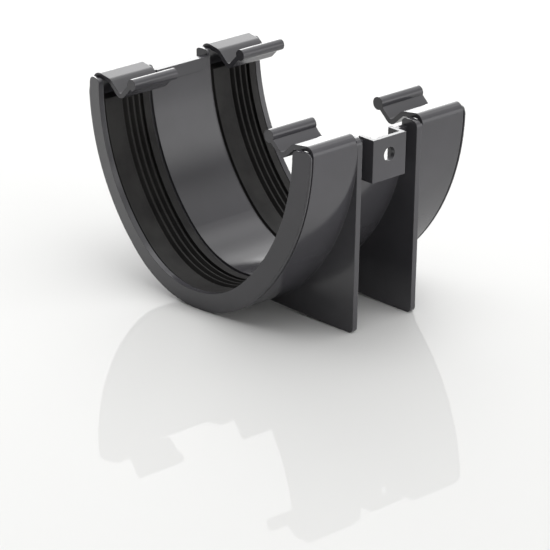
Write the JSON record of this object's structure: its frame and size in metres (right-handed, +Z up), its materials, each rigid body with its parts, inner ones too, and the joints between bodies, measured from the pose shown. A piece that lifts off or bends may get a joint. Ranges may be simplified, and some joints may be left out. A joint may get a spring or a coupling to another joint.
{
  "type": "gutter union",
  "caption": "Deep half-round gutter union: a moulded trough with a sealed socket at each end, spring clips over both edges, and a lug and fins that fix it to a fascia board.",
  "frame": {"origin": "centre of the fixing hole, on the face that lies against the fascia board", "axes": "+X along the gutter, +Y into the fascia board, +Z up"},
  "size_m": [0.0904, 0.1318, 0.0876],
  "materials": {
    "moulding": "satin black",
    "seal": "matt black"
  },
  "bodies": {
    "root": {"union_body": "moulding", "near_seal": "seal", "far_seal": "seal", "near_back_clip": "moulding", "near_front_clip": "moulding", "far_back_clip": "moulding", "far_front_clip": "moulding"}
  },
  "joints": []
}
